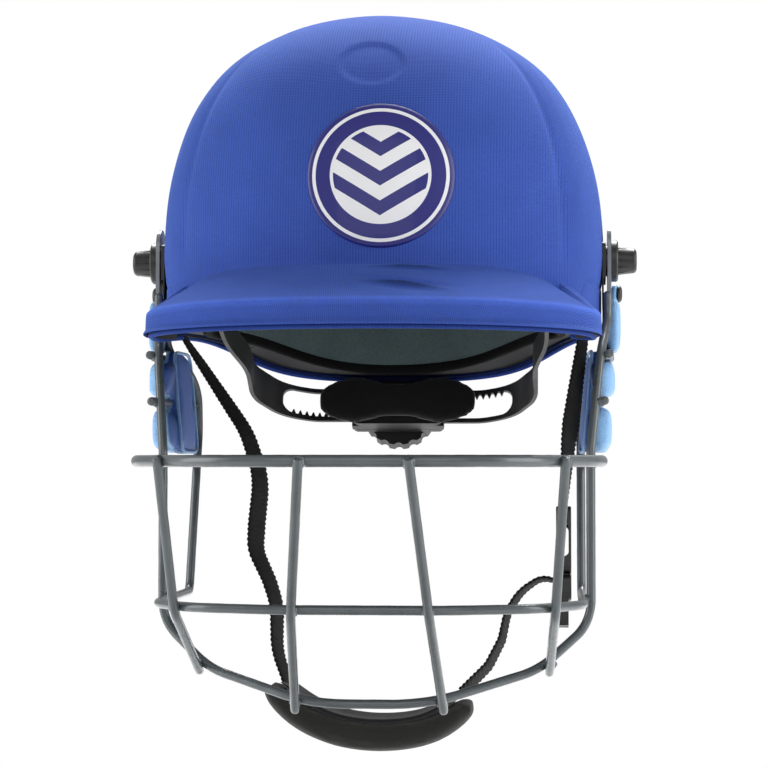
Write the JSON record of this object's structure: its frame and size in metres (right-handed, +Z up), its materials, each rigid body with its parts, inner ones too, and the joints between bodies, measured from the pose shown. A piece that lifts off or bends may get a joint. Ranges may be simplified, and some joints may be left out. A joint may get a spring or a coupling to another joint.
{
  "type": "cricket helmet",
  "caption": "Cloth-covered cricket helmet with stitched peak, adjustable welded-wire face grille, padded sides, toothed dial head band, and chin strap with cup and side-release buckle.",
  "frame": {"origin": "midway between the two grille bolts, on their common axis, inside the head cavity", "axes": "+Z up towards the crown, front of the helmet towards -Y, right-hand side of the picture towards +X"},
  "size_m": [0.243, 0.2994, 0.3473],
  "materials": {
    "cloth": "fine ribbed knit, matte",
    "cloth_trim": "matte",
    "shell": "satin",
    "liner": "matte",
    "lining": "felt",
    "trim": "matte",
    "badge": "satin",
    "nut": "satin",
    "wire": "glossy powder coat",
    "knob": "satin",
    "pad": "matte",
    "snap": "polished",
    "adjuster": "satin",
    "nape": "matte",
    "strap": "ribbed webbing",
    "buckle": "satin",
    "cup": "glossy",
    "cup_lining": "matte"
  },
  "bodies": {
    "helmet": {"shell": "shell", "peak": "shell", "cloth_cover": "cloth", "crown_liner": "liner", "front_liner": "liner", "rear_liner": "liner", "left_liner": "liner", "right_liner": "liner", "comfort_lining": "lining", "lining_binding": "trim", "peak_beading": "cloth_trim", "rim_piping": "cloth_trim", "front_badge": "badge", "left_mount_block": "shell", "right_mount_block": "shell", "tee_nuts": "nut", "band_rivets": "snap", "strap_anchors": "nut"},
    "slot_guides": {"left_slot_guide": "shell", "right_slot_guide": "shell"},
    "grille": {"left_tab": "wire", "right_tab": "wire", "side_wires": "wire", "rear_wires": "wire", "top_bar": "wire", "inner_front_bars": "wire", "outer_front_bars": "wire", "upper_side_rungs": "wire", "lower_side_rungs": "wire", "left_side_pad": "pad", "right_side_pad": "pad", "upper_side_pads": "pad", "pad_snaps": "snap"},
    "left_bolt": {"left_knob": "knob", "left_clamp_washer": "knob"},
    "right_bolt": {"right_knob": "knob", "right_clamp_washer": "knob"},
    "cradle": {"cradle_frame": "adjuster", "cradle_cover": "adjuster", "cradle_screws": "nut", "nape_pad": "nape"},
    "dial_body": {"dial": "adjuster", "dial_cap": "adjuster", "pinion": "adjuster"},
    "left_arm_body": {"left_arm": "adjuster"},
    "right_arm_body": {"right_arm": "adjuster"},
    "chin_strap": {"left_strap": "strap", "right_strap": "strap", "lower_strap": "strap", "buckle_socket": "buckle", "chin_cup": "cup", "cup_lining": "cup_lining"},
    "buckle_plug_body": {"buckle_plug": "buckle"}
  },
  "joints": [
    {"name": "grille_tilt", "type": "hinge", "parent": "helmet", "child": "slot_guides", "pos_m": [0, 0, 0], "axis": [1, 0, 0], "range_deg": [-5, 5]},
    {"name": "grille_height", "type": "slide", "parent": "slot_guides", "child": "grille", "axis": [0, 0, 1], "range_m": [-0.004, 0.004]},
    {"name": "left_knob_turn", "type": "hinge", "parent": "slot_guides", "child": "left_bolt", "pos_m": [-0.115, 0, 0], "axis": [1, 0, 0], "continuous": true},
    {"name": "right_knob_turn", "type": "hinge", "parent": "slot_guides", "child": "right_bolt", "pos_m": [0.115, 0, 0], "axis": [1, 0, 0], "continuous": true},
    {"name": "cradle_tilt", "type": "hinge", "parent": "helmet", "child": "cradle", "pos_m": [0, 0, -0.027], "axis": [1, 0, 0], "range_deg": [-8, 0]},
    {"name": "dial_turn", "type": "hinge", "parent": "cradle", "child": "dial_body", "pos_m": [0, 0.108, -0.067], "axis": [0, 0.9377, -0.3475], "range_deg": [-43.65, 21.83]},
    {"name": "left_arm_slide", "type": "slide", "parent": "cradle", "child": "left_arm_body", "axis": [-1, 0, 0], "range_m": [-0.004, 0.002]},
    {"name": "right_arm_slide", "type": "slide", "parent": "cradle", "child": "right_arm_body", "axis": [1, 0, 0], "range_m": [-0.004, 0.002]},
    {"name": "chin_strap_swing", "type": "hinge", "parent": "helmet", "child": "chin_strap", "pos_m": [0, -0.02, -0.026], "axis": [1, 0, 0], "range_deg": [0, 35]},
    {"name": "buckle_release", "type": "slide", "parent": "chin_strap", "child": "buckle_plug_body", "axis": [0, -0.1305, -0.9914], "range_m": [0, 0.022]}
  ],
  "couplings": [
    {"joint": "left_arm_slide", "follows": "dial_turn", "m_per_rad": 0.00525},
    {"joint": "right_arm_slide", "follows": "dial_turn", "m_per_rad": 0.00525}
  ]
}
